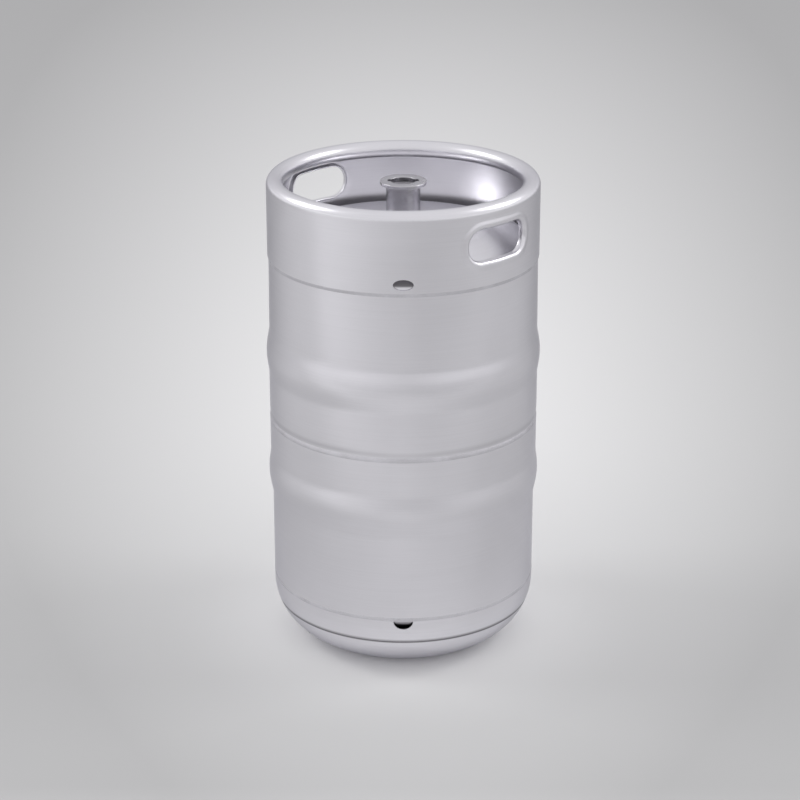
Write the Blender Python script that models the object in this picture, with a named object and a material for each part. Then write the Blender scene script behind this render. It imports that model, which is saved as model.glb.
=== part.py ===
"""Stainless steel beer keg with a spring-loaded twin valve in its neck.

Frame: origin at the middle of the foot ring, on the ground. +Z is up, and the two handle
openings are on +X and -X. All sizes are in metres.
"""

import math

import bmesh
import bpy
from mathutils import Vector

# Overall sizes
KEG_HEIGHT = 0.594
CHIME_RADIUS = 0.165
SHELL_SHEET = 0.0016
CHIME_SHEET = 0.0020
CLEARANCE = 0.0003

# Shell: how far its wall lies inside (+) or outside (-) the upper chime at each level
INSET_UNDER_CHIME = 0.0014
INSET_ABOVE_UPPER_RIB = 0.0007
INSET_BELLY = -0.0003
INSET_BELOW_LOWER_RIB = 0.0017
RIB_RISE = 0.0033
RIB_HALF_WIDTH = 0.027
UPPER_RIB_ABOVE_GIRTH = 0.0856
LOWER_RIB_BELOW_GIRTH = 0.0750
GIRTH_ABOVE_MIDDLE = 0.0020
KNUCKLE_RADIUS = 0.022
SHOULDER_HEIGHT = 0.002
CHIME_SEAT_GAP = 0.0012
BOTTOM_DOME_RISE = 0.043
SUMP_RADIUS = 0.022
SUMP_DEPTH = 0.006

# Welds
SEAM_BEAD_RADIUS = 0.0013
GIRTH_BEAD_RADIUS = 0.0014

# Upper chime
UPPER_CHIME_HEIGHT = 0.0993
RIM_BEAD_RADIUS = 0.0105
RIM_CURL_DEGREES = 300
HANDLE_WIDTH = 0.090
HANDLE_HEIGHT = 0.039
HANDLE_CORNER = 0.018
HANDLE_BELOW_RIM = 0.0475
HANDLE_LIP_RADIUS = 0.0045
HANDLE_LIP_PROUD = 0.0006

# Lower chime
LOWER_CHIME_HEIGHT = 0.081
FOOT_RADIUS = 0.091
FOOT_ROUNDING_HEIGHT = 0.072
FOOT_FLAT = 0.009
FOOT_CURL_RADIUS = 0.006

# Drain holes in the chimes, on the line across the keg at this angle from +X
DRAIN_DEGREES = -43.5
UPPER_DRAIN = (0.024, 0.013)
UPPER_DRAIN_ABOVE_SEAM = 0.0135
LOWER_DRAIN = (0.024, 0.021)
LOWER_DRAIN_BELOW_SEAM = 0.003

# Neck
NECK_BELOW_RIM = 0.0077
NECK_RISE = 0.044
NECK_FLANGE_OVERHANG = 0.0075
NECK_FLANGE_THICKNESS = 0.0042
NECK_WALL = 0.0015
NECK_BELOW_DOME = 0.003
LIP_THICKNESS = 0.0035
LUG_GROOVE_HEIGHT = 0.005
LUG_GROOVE_DEPTH = 0.004
LUG_WIDTH = 0.009
LUG_DEGREES = 46.5
GROOVE_LAND = 0.001
GASKET_THICKNESS = 0.0014
GASKET_SEAT_WIDTH = 0.0018
LOCK_RING_THICKNESS = 0.0014
LOCK_RING_GROOVE_DEPTH = 0.0012
LOCK_RING_WIDTH = 0.0024
LOCK_RING_GAP_DEGREES = 24
NECK_WELD_LEG = 0.004

# Valve, from the ball outwards
BALL_RADIUS = 0.0062
BALL_PLAY = 0.001
CUP_WALL = 0.001
MAIN_WIRE_RADIUS = 0.0007
MAIN_SPRING_PLAY = 0.0007
MAIN_SPRING_TURNS = 7
MAIN_SPRING_HEIGHT = 0.0330
BODY_WALL = 0.0016
BODY_FLANGE_THICKNESS = 0.002
BODY_IN_NECK_PLAY = 0.0004
SEAT_LIP_WIDTH = 0.0020
SEAL_PLAY = 0.0004
SEAL_BOSS_RISE = 0.0004
SEAL_THICKNESS = 0.0038
SEAL_SEAT_BELOW_BALL_TOP = 0.001
INSERT_THICKNESS = 0.0015
CUP_FLANGE_THICKNESS = 0.0012
GAS_TRAVEL = 0.006
BALL_WIRE_RADIUS = 0.0004
BALL_SPRING_RADIUS = 0.0043
BALL_SPRING_HEIGHT = 0.0095
BALL_SPRING_TURNS = 5
CUP_FLOOR = 0.0015
TUBE_SOCKET_DEPTH = 0.0082
TUBE_RADIUS = 0.00635
TUBE_WALL = 0.0008
TUBE_GUIDE_PLAY = 0.0009
TUBE_ABOVE_SUMP = 0.010
CAGE_FLOOR = 0.0015
BODY_SKIRT = 0.0206
PORT_WIDTH = 0.008
PORT_HEIGHT = 0.0095

# How many flats stand for a full turn
SHELL_STEPS = 28
NECK_STEPS = 24
VALVE_STEPS = 16

# Levels and radii that follow from the sizes above
UPPER_SEAM = KEG_HEIGHT - UPPER_CHIME_HEIGHT
LOWER_SEAM = LOWER_CHIME_HEIGHT
GIRTH = (UPPER_SEAM + LOWER_SEAM) / 2 + GIRTH_ABOVE_MIDDLE
UPPER_RIB = GIRTH + UPPER_RIB_ABOVE_GIRTH
LOWER_RIB = GIRTH - LOWER_RIB_BELOW_GIRTH
LOWER_CHIME_RADIUS = CHIME_RADIUS - INSET_BELOW_LOWER_RIB
UPPER_STEP_RADIUS = CHIME_RADIUS - CHIME_SHEET - CHIME_SEAT_GAP
LOWER_STEP_RADIUS = LOWER_CHIME_RADIUS - CHIME_SHEET - CHIME_SEAT_GAP
SEAM_ROOM = SEAM_BEAD_RADIUS + CLEARANCE

# The handles sit where the rim puts them, or higher where their lips would touch the shell
LIP_FROM_KNUCKLE = HANDLE_LIP_RADIUS + KNUCKLE_RADIUS + 2 * CLEARANCE
LIP_OUTSIDE_KNUCKLE = (
    CHIME_RADIUS - HANDLE_LIP_RADIUS + HANDLE_LIP_PROUD - UPPER_STEP_RADIUS + KNUCKLE_RADIUS
)
LOWEST_LIP = UPPER_SEAM + SHOULDER_HEIGHT
if LIP_FROM_KNUCKLE > LIP_OUTSIDE_KNUCKLE:
    LOWEST_LIP += math.sqrt(LIP_FROM_KNUCKLE**2 - LIP_OUTSIDE_KNUCKLE**2)
HANDLE_LEVEL = max(
    KEG_HEIGHT - HANDLE_BELOW_RIM, LOWEST_LIP + HANDLE_HEIGHT / 2 + HANDLE_LIP_RADIUS
)

NECK_TOP = KEG_HEIGHT - NECK_BELOW_RIM
DOME_TOP = NECK_TOP - NECK_RISE
BOTTOM_DOME = LOWER_SEAM - SHOULDER_HEIGHT - BOTTOM_DOME_RISE
SUMP_FLOOR = BOTTOM_DOME - SUMP_DEPTH

CUP_INNER = max(BALL_RADIUS + BALL_PLAY, TUBE_RADIUS + CLEARANCE)
CUP_OUTER = CUP_INNER + CUP_WALL
MAIN_SPRING_RADIUS = CUP_OUTER + MAIN_SPRING_PLAY + MAIN_WIRE_RADIUS
BODY_INNER = MAIN_SPRING_RADIUS + MAIN_WIRE_RADIUS + MAIN_SPRING_PLAY + CLEARANCE
BODY_OUTER = BODY_INNER + BODY_WALL
NECK_BORE = BODY_OUTER + BODY_IN_NECK_PLAY
NECK_LIP_BORE = NECK_BORE + GASKET_SEAT_WIDTH
LUG_GROOVE_RADIUS = NECK_LIP_BORE + LUG_GROOVE_DEPTH
NECK_RADIUS = LUG_GROOVE_RADIUS + NECK_WALL
NECK_FLANGE_RADIUS = NECK_RADIUS + NECK_FLANGE_OVERHANG
SEAL_OUTER = BODY_INNER - SEAL_PLAY
SEAL_BORE = BALL_RADIUS - SEAL_SEAT_BELOW_BALL_TOP
SEAT_BORE = BODY_INNER - SEAT_LIP_WIDTH

LOCK_GROOVE_TOP = NECK_TOP - LIP_THICKNESS - LUG_GROOVE_HEIGHT - GROOVE_LAND
LOCK_GROOVE_FLOOR = LOCK_GROOVE_TOP - LOCK_RING_THICKNESS - 2 * CLEARANCE
LOCK_RING_TOP = LOCK_GROOVE_TOP - CLEARANCE
BODY_TOP = LOCK_RING_TOP - LOCK_RING_THICKNESS - CLEARANCE
BODY_FLANGE_FLOOR = BODY_TOP - BODY_FLANGE_THICKNESS
GASKET_TOP = BODY_FLANGE_FLOOR - CLEARANCE
GASKET_FLOOR = GASKET_TOP - GASKET_THICKNESS
NECK_SHOULDER = GASKET_FLOOR - CLEARANCE
SEAT_FLOOR = BODY_TOP - BODY_FLANGE_THICKNESS
BODY_FLOOR = BODY_FLANGE_FLOOR - BODY_SKIRT

SEAL_TOP = SEAT_FLOOR - CLEARANCE
SEAL_FLOOR = SEAL_TOP - SEAL_THICKNESS
SEAL_BORE_FLOOR = SEAL_FLOOR + SEAL_SEAT_BELOW_BALL_TOP
BALL_CENTRE = SEAL_BORE_FLOOR - math.sqrt((BALL_RADIUS + CLEARANCE) ** 2 - SEAL_BORE**2)
INSERT_TOP = SEAL_FLOOR - CLEARANCE
INSERT_FLOOR = INSERT_TOP - INSERT_THICKNESS
CUP_TOP = INSERT_FLOOR - CLEARANCE
CUP_FLANGE_FLOOR = CUP_TOP - CUP_FLANGE_THICKNESS
BALL_SPRING_TOP = BALL_CENTRE - math.sqrt(
    (BALL_RADIUS + BALL_WIRE_RADIUS + CLEARANCE) ** 2 - BALL_SPRING_RADIUS**2
)
BALL_SPRING_FLOOR = BALL_SPRING_TOP - BALL_SPRING_HEIGHT
CUP_FLOOR_TOP = BALL_SPRING_FLOOR - BALL_WIRE_RADIUS - CLEARANCE
TUBE_SOCKET_TOP = CUP_FLOOR_TOP - CUP_FLOOR
CUP_BOTTOM = TUBE_SOCKET_TOP - TUBE_SOCKET_DEPTH
TUBE_TOP = TUBE_SOCKET_TOP - CLEARANCE
TUBE_BOTTOM = SUMP_FLOOR + SHELL_SHEET + TUBE_ABOVE_SUMP
MAIN_SPRING_TOP = CUP_FLANGE_FLOOR - CLEARANCE - MAIN_WIRE_RADIUS
MAIN_SPRING_FLOOR = min(MAIN_SPRING_TOP - MAIN_SPRING_HEIGHT, CUP_BOTTOM - GAS_TRAVEL)
CAGE_FLOOR_TOP = MAIN_SPRING_FLOOR - MAIN_WIRE_RADIUS - CLEARANCE
CAGE_BOTTOM = CAGE_FLOOR_TOP - CAGE_FLOOR
CAGE_TOP = BODY_FLOOR - CLEARANCE
CAGE_HOLE = TUBE_RADIUS + TUBE_GUIDE_PLAY
NECK_BOTTOM = DOME_TOP - SHELL_SHEET - NECK_BELOW_DOME


def clear_scene():
    for obj in list(bpy.data.objects):
        bpy.data.objects.remove(obj, do_unlink=True)


def metal(name, colour, roughness, metallic=1.0):
    """A Principled material with the finish of one kind of piece."""
    material = bpy.data.materials.new(name)
    material.use_nodes = True
    shader = material.node_tree.nodes["Principled BSDF"]
    shader.inputs["Base Color"].default_value = (*colour, 1.0)
    shader.inputs["Roughness"].default_value = roughness
    shader.inputs["Metallic"].default_value = metallic
    return material


def finish_object(name, bm, material, origin=(0, 0, 0)):
    """Turn a bmesh in world space into an object whose origin is at the given point."""
    bmesh.ops.remove_doubles(bm, verts=bm.verts, dist=1e-6)
    bmesh.ops.recalc_face_normals(bm, faces=bm.faces)
    bmesh.ops.translate(bm, verts=bm.verts, vec=-Vector(origin))
    mesh = bpy.data.meshes.new(name)
    bm.to_mesh(mesh)
    bm.free()
    mesh.materials.append(material)
    mesh.shade_smooth()
    mesh.set_sharp_from_angle(angle=math.radians(35))
    obj = bpy.data.objects.new(name, mesh)
    obj.location = origin
    bpy.context.scene.collection.objects.link(obj)
    return obj


def arc(centre, radius, start, end, steps, height=None):
    """Points along an arc in the (r, z) plane, in degrees; height makes it a stretch of an ellipse."""
    tall = radius if height is None else height
    points = []
    for i in range(steps + 1):
        angle = math.radians(start + (end - start) * i / steps)
        points.append((centre[0] + radius * math.cos(angle), centre[1] + tall * math.sin(angle)))
    return points


def offset_line(line, distance):
    """The line moved sideways, to the left of its direction, with mitred corners."""
    moved = []
    for i, point in enumerate(line):
        before = Vector(line[max(i - 1, 0)])
        here = Vector(point)
        after = Vector(line[min(i + 1, len(line) - 1)])
        sides = []
        for way in (here - before, after - here):
            if way.length > 1e-9:
                sides.append(Vector((-way.y, way.x)).normalized())
        side = (sides[0] + sides[-1]).normalized()
        moved.append(tuple(here + side * (distance / side.dot(sides[0]))))
    return moved


def sheet(line, thickness):
    """A closed outline for a sheet whose outer face follows the line."""
    return line + offset_line(line, thickness)[::-1]


def revolve(name, outline, steps, material, degrees=360.0, start=0.0):
    """Spin a closed (r, z) outline about the keg's axis. Points on the axis merge into a pole."""
    bm = bmesh.new()
    turn = math.radians(start)
    ring = [bm.verts.new((r * math.cos(turn), r * math.sin(turn), z)) for r, z in outline]
    loop = [bm.edges.new((ring[i], ring[(i + 1) % len(ring)])) for i in range(len(ring))]
    full = degrees >= 360.0
    made = bmesh.ops.spin(
        bm,
        geom=ring + loop,
        axis=(0, 0, 1),
        cent=(0, 0, 0),
        steps=steps,
        angle=math.radians(degrees),
        use_merge=full,
    )
    if not full:
        last = [item for item in made["geom_last"] if isinstance(item, bmesh.types.BMVert)]
        bm.faces.new(ring)
        bm.faces.new(last)
    bmesh.ops.remove_doubles(bm, verts=bm.verts, dist=1e-6)
    bmesh.ops.dissolve_degenerate(bm, edges=bm.edges, dist=1e-7)
    return finish_object(name, bm, material)


def swept_tube(rings, closed):
    """A tube through rings of points: closed on itself, or with a flat cap at each end."""
    bm = bmesh.new()
    made = [[bm.verts.new(point) for point in ring] for ring in rings]
    pairs = list(zip(made, made[1:]))
    if closed:
        pairs.append((made[-1], made[0]))
    else:
        bm.faces.new(made[0])
        bm.faces.new(made[-1])
    for one, two in pairs:
        for i in range(len(one)):
            j = (i + 1) % len(one)
            bm.faces.new((one[i], one[j], two[j], two[i]))
    return bm


def spring(name, radius, wire, floor, height, turns, material):
    """A compression spring with one closed coil at each end, standing on its floor level."""
    per_turn = 10
    sides = 5
    closed_rise = 2.3 * wire
    pitch = (height - 2 * closed_rise) / (turns - 2)
    rings = []
    for i in range(turns * per_turn + 1):
        turned = i / per_turn
        rise = min(turned, 1.0) * closed_rise
        rise += min(max(turned - 1.0, 0.0), turns - 2) * pitch
        rise += max(turned - turns + 1, 0.0) * closed_rise
        angle = 2 * math.pi * turned
        out = Vector((math.cos(angle), math.sin(angle), 0))
        centre = out * radius + Vector((0, 0, floor + rise))
        ring = []
        for k in range(sides):
            around = 2 * math.pi * k / sides
            ring.append(centre + wire * (math.cos(around) * out + math.sin(around) * Vector((0, 0, 1))))
        rings.append(ring)
    return finish_object(name, swept_tube(rings, closed=False), material)


def rounded_rectangle(half_width, half_height, corner, corner_steps):
    """Points round a rectangle with round corners, anticlockwise."""
    points = []
    for start, across, up in ((0, 1, 1), (90, -1, 1), (180, -1, -1), (270, 1, -1)):
        centre = (across * (half_width - corner), up * (half_height - corner))
        points += arc(centre, corner, start, start + 90, corner_steps)
    return points


def cutter(name, bm):
    """A hidden helper for a Boolean."""
    obj = finish_object(name, bm, STEEL)
    obj.hide_render = True
    obj.display_type = "WIRE"
    return obj


def through_cutter(name, outline, level, degrees):
    """A bar with the given outline that runs right through the keg, level, at the given angle."""
    along = Vector((math.cos(math.radians(degrees)), math.sin(math.radians(degrees)), 0))
    across = Vector((-along.y, along.x, 0))
    rings = []
    for end in (-1.3, 1.3):
        rings.append(
            [along * end * CHIME_RADIUS + across * a + Vector((0, 0, level + z)) for a, z in outline]
        )
    return cutter(name, swept_tube(rings, closed=False))


def boolean(obj, tool, operation):
    """Cut or join with an EXACT Boolean that stays on the object."""
    modifier = obj.modifiers.new(tool.name, "BOOLEAN")
    modifier.operation = operation
    modifier.object = tool


def handle_lip(name, side):
    """The rolled edge of one handle opening: a round tube laid along the opening on the chime."""
    lip = HANDLE_LIP_RADIUS
    path_radius = CHIME_RADIUS - lip + HANDLE_LIP_PROUD
    path = []
    for y, z in rounded_rectangle(
        HANDLE_WIDTH / 2 + lip, HANDLE_HEIGHT / 2 + lip, HANDLE_CORNER + lip, 5
    ):
        x = side * math.sqrt(path_radius**2 - y**2)
        path.append(Vector((x, y, HANDLE_LEVEL + z)))
    rings = []
    for i, point in enumerate(path):
        along = (path[(i + 1) % len(path)] - path[i - 1]).normalized()
        out = Vector((point.x, point.y, 0)).normalized()
        out = (out - along * out.dot(along)).normalized()
        across = along.cross(out)
        rings.append(
            [
                point + lip * (math.cos(angle) * out + math.sin(angle) * across)
                for angle in (2 * math.pi * k / 8 for k in range(8))
            ]
        )
    return cutter(name, swept_tube(rings, closed=True))


def smooth_step(low, high, value):
    share = min(max((value - low) / (high - low), 0.0), 1.0)
    return share * share * (3 - 2 * share)


def wall_radius(z):
    """Outer radius of the shell's wall, with its two rolled ribs."""
    inset = INSET_BELOW_LOWER_RIB
    inset += (INSET_BELLY - inset) * smooth_step(
        LOWER_RIB - RIB_HALF_WIDTH, LOWER_RIB + RIB_HALF_WIDTH, z
    )
    inset += (INSET_ABOVE_UPPER_RIB - inset) * smooth_step(
        UPPER_RIB - RIB_HALF_WIDTH, UPPER_RIB + RIB_HALF_WIDTH, z
    )
    inset += (INSET_UNDER_CHIME - inset) * smooth_step(UPPER_RIB + RIB_HALF_WIDTH, UPPER_SEAM, z)
    for rib in (UPPER_RIB, LOWER_RIB):
        away = abs(z - rib) / RIB_HALF_WIDTH
        if away < 1:
            inset -= RIB_RISE * math.cos(away * math.pi / 2) ** 2
    return CHIME_RADIUS - inset


def rib_levels(rib):
    """The levels at which a rib needs a point, from its lower end to its upper end."""
    return [rib + RIB_HALF_WIDTH * share for share in (-1, -0.66, -0.33, 0, 0.33, 0.66, 1)]


def dome_line(step_radius, knuckle_level, rise, centre_radius):
    """Knuckle and crown as (r, height above the knuckle's centre), from the wall to the centre."""
    knuckle = KNUCKLE_RADIUS
    reach = step_radius - knuckle
    crown = (reach**2 + rise**2 - knuckle**2) / (2 * (rise - knuckle))
    lean = math.degrees(math.atan2(crown - rise, reach))
    points = arc((reach, knuckle_level), knuckle, 0, lean, 3)
    edge = math.degrees(math.acos(centre_radius / crown))
    return points + arc((0, knuckle_level + rise - crown), crown, lean, edge, 4)[1:]


def make_upper_shell():
    rise = DOME_TOP - UPPER_SEAM - SHOULDER_HEIGHT
    line = [(wall_radius(GIRTH), GIRTH + GIRTH_BEAD_RADIUS + CLEARANCE)]
    line += [(wall_radius(z), z) for z in rib_levels(UPPER_RIB)]
    line += [(wall_radius(UPPER_SEAM), UPPER_SEAM - SEAM_ROOM)]
    line += [(UPPER_STEP_RADIUS, UPPER_SEAM)]
    line += dome_line(
        UPPER_STEP_RADIUS, UPPER_SEAM + SHOULDER_HEIGHT, rise, NECK_RADIUS + CLEARANCE
    )
    return revolve("upper_shell", sheet(line, SHELL_SHEET), SHELL_STEPS, STEEL)


def make_lower_shell():
    level = LOWER_SEAM - SHOULDER_HEIGHT
    dome = dome_line(LOWER_STEP_RADIUS, 0.0, BOTTOM_DOME_RISE, SUMP_RADIUS)
    line = [(wall_radius(GIRTH), GIRTH - GIRTH_BEAD_RADIUS - CLEARANCE)]
    line += [(wall_radius(z), z) for z in reversed(rib_levels(LOWER_RIB))]
    line += [(LOWER_CHIME_RADIUS, LOWER_SEAM + SEAM_ROOM)]
    line += [(LOWER_STEP_RADIUS, LOWER_SEAM)]
    line += [(r, level - height) for r, height in dome]
    line += [(SUMP_RADIUS * 0.68, SUMP_FLOOR), (0.0, SUMP_FLOOR)]
    return revolve("lower_shell", sheet(line, -SHELL_SHEET), SHELL_STEPS, STEEL)


def make_upper_chime():
    bead = (CHIME_RADIUS - RIM_BEAD_RADIUS, KEG_HEIGHT - RIM_BEAD_RADIUS)
    line = [(CHIME_RADIUS, UPPER_SEAM + SEAM_ROOM + SEAM_BEAD_RADIUS)]
    line += arc(bead, RIM_BEAD_RADIUS, 0, RIM_CURL_DEGREES, 10)
    chime = revolve("upper_chime", sheet(line, CHIME_SHEET), SHELL_STEPS, STEEL)

    edge = HANDLE_LIP_RADIUS
    opening = rounded_rectangle(
        HANDLE_WIDTH / 2 + edge, HANDLE_HEIGHT / 2 + edge, HANDLE_CORNER + edge, 5
    )
    handles = through_cutter("handle_cutter", opening, HANDLE_LEVEL, 0)
    boolean(chime, handles, "DIFFERENCE")
    for name, side in (("right_lip", 1), ("left_lip", -1)):
        boolean(chime, handle_lip(name, side), "UNION")

    width, height = UPPER_DRAIN
    hole = arc((0, 0), width / 2, 0, 330, 11, height=height / 2)
    drain = through_cutter("upper_drain", hole, UPPER_SEAM + UPPER_DRAIN_ABOVE_SEAM, DRAIN_DEGREES)
    boolean(chime, drain, "DIFFERENCE")
    return chime


def make_lower_chime():
    foot = (FOOT_RADIUS, FOOT_ROUNDING_HEIGHT)
    curl = (FOOT_RADIUS - FOOT_FLAT, FOOT_CURL_RADIUS)
    line = [(LOWER_CHIME_RADIUS, LOWER_SEAM - SEAM_ROOM - SEAM_BEAD_RADIUS)]
    line += arc(foot, LOWER_CHIME_RADIUS - FOOT_RADIUS, 0, -90, 8, height=FOOT_ROUNDING_HEIGHT)
    line += arc(curl, FOOT_CURL_RADIUS, -90, -210, 4)
    chime = revolve("lower_chime", sheet(line, -CHIME_SHEET), SHELL_STEPS, STEEL)

    width, height = LOWER_DRAIN
    hole = arc((0, 0), width / 2, 0, 330, 11, height=height / 2)
    drain = through_cutter("lower_drain", hole, LOWER_SEAM - LOWER_DRAIN_BELOW_SEAM, DRAIN_DEGREES)
    boolean(chime, drain, "DIFFERENCE")
    return chime


def make_welds():
    """The three weld beads round the keg, and the fillet round the foot of the neck."""
    beads = (
        ("upper_chime_weld", CHIME_RADIUS, UPPER_SEAM + SEAM_ROOM - CLEARANCE, SEAM_BEAD_RADIUS),
        ("lower_chime_weld", LOWER_CHIME_RADIUS, LOWER_SEAM - SEAM_ROOM + CLEARANCE, SEAM_BEAD_RADIUS),
        ("girth_weld", wall_radius(GIRTH), GIRTH, GIRTH_BEAD_RADIUS),
    )
    for name, radius, level, bead in beads:
        outline = arc((radius - bead, level), bead, 0, 288, 4)
        revolve(name, outline, SHELL_STEPS, WELD)
    inner = NECK_RADIUS + CLEARANCE
    floor = DOME_TOP + CLEARANCE
    fillet = [
        (inner, floor),
        (inner + NECK_WELD_LEG, floor),
        (inner + NECK_WELD_LEG / 3, floor + NECK_WELD_LEG / 3),
        (inner, floor + NECK_WELD_LEG),
    ]
    revolve("neck_weld", fillet, NECK_STEPS, WELD)


def make_neck():
    edge = 0.0008
    flange_floor = NECK_TOP - NECK_FLANGE_THICKNESS
    groove_top = NECK_TOP - LIP_THICKNESS
    groove_floor = groove_top - LUG_GROOVE_HEIGHT
    lock_radius = NECK_LIP_BORE + LOCK_RING_GROOVE_DEPTH
    outline = [
        (NECK_LIP_BORE, NECK_TOP),
        (NECK_FLANGE_RADIUS - edge, NECK_TOP),
        (NECK_FLANGE_RADIUS, NECK_TOP - edge),
        (NECK_FLANGE_RADIUS, flange_floor + edge),
        (NECK_FLANGE_RADIUS - edge, flange_floor),
        (NECK_RADIUS + 2 * edge, flange_floor),
        (NECK_RADIUS, flange_floor - 2 * edge),
        (NECK_RADIUS, NECK_BOTTOM),
        (NECK_BORE, NECK_BOTTOM),
        (NECK_BORE, NECK_SHOULDER),
        (NECK_LIP_BORE, NECK_SHOULDER),
        (NECK_LIP_BORE, LOCK_GROOVE_FLOOR),
        (lock_radius, LOCK_GROOVE_FLOOR),
        (lock_radius, LOCK_GROOVE_TOP),
        (NECK_LIP_BORE, LOCK_GROOVE_TOP),
        (NECK_LIP_BORE, groove_floor),
        (LUG_GROOVE_RADIUS, groove_floor),
        (LUG_GROOVE_RADIUS, groove_top),
        (NECK_LIP_BORE, groove_top),
    ]
    neck = revolve("keg_neck", outline, NECK_STEPS, NECK_STEEL)

    turn = math.radians(LUG_DEGREES)
    along = Vector((math.cos(turn), math.sin(turn), 0))
    across = Vector((-along.y, along.x, 0))
    rings = []
    for level in (groove_top - LUG_GROOVE_HEIGHT / 2, NECK_TOP + LIP_THICKNESS):
        corners = ((-1, -1), (1, -1), (1, 1), (-1, 1))
        reach = LUG_GROOVE_RADIUS - edge
        rings.append(
            [
                along * reach * a + across * LUG_WIDTH / 2 * b + Vector((0, 0, level))
                for a, b in corners
            ]
        )
    boolean(neck, cutter("lug_slot_cutter", swept_tube(rings, closed=False)), "DIFFERENCE")
    return neck


def make_valve_seat_pieces():
    """What stays still in the neck: body, gasket, lock ring and cage."""
    flange_radius = NECK_LIP_BORE - CLEARANCE
    body = [
        (SEAT_BORE, BODY_TOP),
        (flange_radius, BODY_TOP),
        (flange_radius, BODY_FLANGE_FLOOR),
        (BODY_OUTER, BODY_FLANGE_FLOOR),
        (BODY_OUTER, BODY_FLOOR),
        (BODY_INNER, BODY_FLOOR),
        (BODY_INNER, SEAT_FLOOR),
        (SEAT_BORE, SEAT_FLOOR),
    ]
    revolve("spear_body", body, VALVE_STEPS, NECK_STEEL)

    gasket = [
        (BODY_OUTER + CLEARANCE, GASKET_TOP),
        (flange_radius, GASKET_TOP),
        (flange_radius, GASKET_FLOOR),
        (BODY_OUTER + CLEARANCE, GASKET_FLOOR),
    ]
    revolve("neck_gasket", gasket, VALVE_STEPS, RUBBER)

    ring_outer = NECK_LIP_BORE + LOCK_RING_GROOVE_DEPTH - CLEARANCE
    ring_floor = LOCK_RING_TOP - LOCK_RING_THICKNESS
    ring = [
        (ring_outer - LOCK_RING_WIDTH, LOCK_RING_TOP),
        (ring_outer, LOCK_RING_TOP),
        (ring_outer, ring_floor),
        (ring_outer - LOCK_RING_WIDTH, ring_floor),
    ]
    revolve(
        "lock_ring",
        ring,
        VALVE_STEPS,
        SPRING_STEEL,
        degrees=360 - LOCK_RING_GAP_DEGREES,
        start=LOCK_RING_GAP_DEGREES,
    )

    cage = [
        (BODY_INNER, CAGE_TOP),
        (BODY_OUTER, CAGE_TOP),
        (BODY_OUTER, CAGE_BOTTOM),
        (CAGE_HOLE, CAGE_BOTTOM),
        (CAGE_HOLE, CAGE_FLOOR_TOP),
        (BODY_INNER, CAGE_FLOOR_TOP),
    ]
    spring_cage = revolve("spring_cage", cage, VALVE_STEPS, NECK_STEEL)
    half = PORT_HEIGHT / 2
    ports = rounded_rectangle(PORT_WIDTH / 2, half, PORT_WIDTH / 4, 2)
    for number, degrees in enumerate((0, 90)):
        level = CAGE_FLOOR_TOP + CAGE_FLOOR + half
        boolean(
            spring_cage,
            through_cutter(f"port_cutter_{number}", ports, level, degrees),
            "DIFFERENCE",
        )


def make_gas_valve():
    """What moves down to let gas in: rubber seal, its insert, the cup and the down tube."""
    boss_radius = SEAT_BORE - SEAL_PLAY
    boss_top = BODY_TOP + SEAL_BOSS_RISE
    seal = [
        (SEAL_BORE, boss_top),
        (boss_radius, boss_top),
        (boss_radius, SEAL_TOP),
        (SEAL_OUTER, SEAL_TOP),
        (SEAL_OUTER, SEAL_FLOOR),
        (BALL_RADIUS - 0.2 * SEAL_SEAT_BELOW_BALL_TOP, SEAL_FLOOR),
        (SEAL_BORE, SEAL_BORE_FLOOR),
    ]
    insert = [
        (CUP_INNER, INSERT_TOP),
        (SEAL_OUTER, INSERT_TOP),
        (SEAL_OUTER, INSERT_FLOOR),
        (CUP_INNER, INSERT_FLOOR),
    ]
    floor_hole = BALL_SPRING_RADIUS - 2 * BALL_WIRE_RADIUS
    cup = [
        (CUP_INNER, CUP_TOP),
        (SEAL_OUTER, CUP_TOP),
        (SEAL_OUTER, CUP_FLANGE_FLOOR),
        (CUP_OUTER, CUP_FLANGE_FLOOR),
        (CUP_OUTER, CUP_BOTTOM),
        (TUBE_RADIUS + CLEARANCE, CUP_BOTTOM),
        (TUBE_RADIUS + CLEARANCE, TUBE_SOCKET_TOP),
        (floor_hole, TUBE_SOCKET_TOP),
        (floor_hole, CUP_FLOOR_TOP),
        (CUP_INNER, CUP_FLOOR_TOP),
    ]
    tube = [
        (TUBE_RADIUS - TUBE_WALL, TUBE_TOP),
        (TUBE_RADIUS, TUBE_TOP),
        (TUBE_RADIUS, TUBE_BOTTOM),
        (TUBE_RADIUS - TUBE_WALL, TUBE_BOTTOM),
    ]
    pieces = (
        ("gas_seal", seal, RUBBER),
        ("gas_seal_insert", insert, SPRING_STEEL),
        ("valve_cup", cup, NECK_STEEL),
        ("down_tube", tube, STEEL),
    )
    for name, outline, material in pieces:
        revolve(name, outline, VALVE_STEPS, material)
    spring(
        "main_spring",
        MAIN_SPRING_RADIUS,
        MAIN_WIRE_RADIUS,
        MAIN_SPRING_FLOOR,
        MAIN_SPRING_TOP - MAIN_SPRING_FLOOR,
        MAIN_SPRING_TURNS,
        SPRING_STEEL,
    )


def make_beer_valve():
    """The ball that the coupler's probe pushes down, and the spring under it."""
    bm = bmesh.new()
    bmesh.ops.create_uvsphere(bm, u_segments=16, v_segments=8, radius=BALL_RADIUS)
    bmesh.ops.translate(bm, verts=bm.verts, vec=(0, 0, BALL_CENTRE))
    finish_object("valve_ball", bm, RUBBER, origin=(0, 0, BALL_CENTRE))
    spring(
        "ball_spring",
        BALL_SPRING_RADIUS,
        BALL_WIRE_RADIUS,
        BALL_SPRING_FLOOR,
        BALL_SPRING_TOP - BALL_SPRING_FLOOR,
        BALL_SPRING_TURNS,
        SPRING_STEEL,
    )


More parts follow.
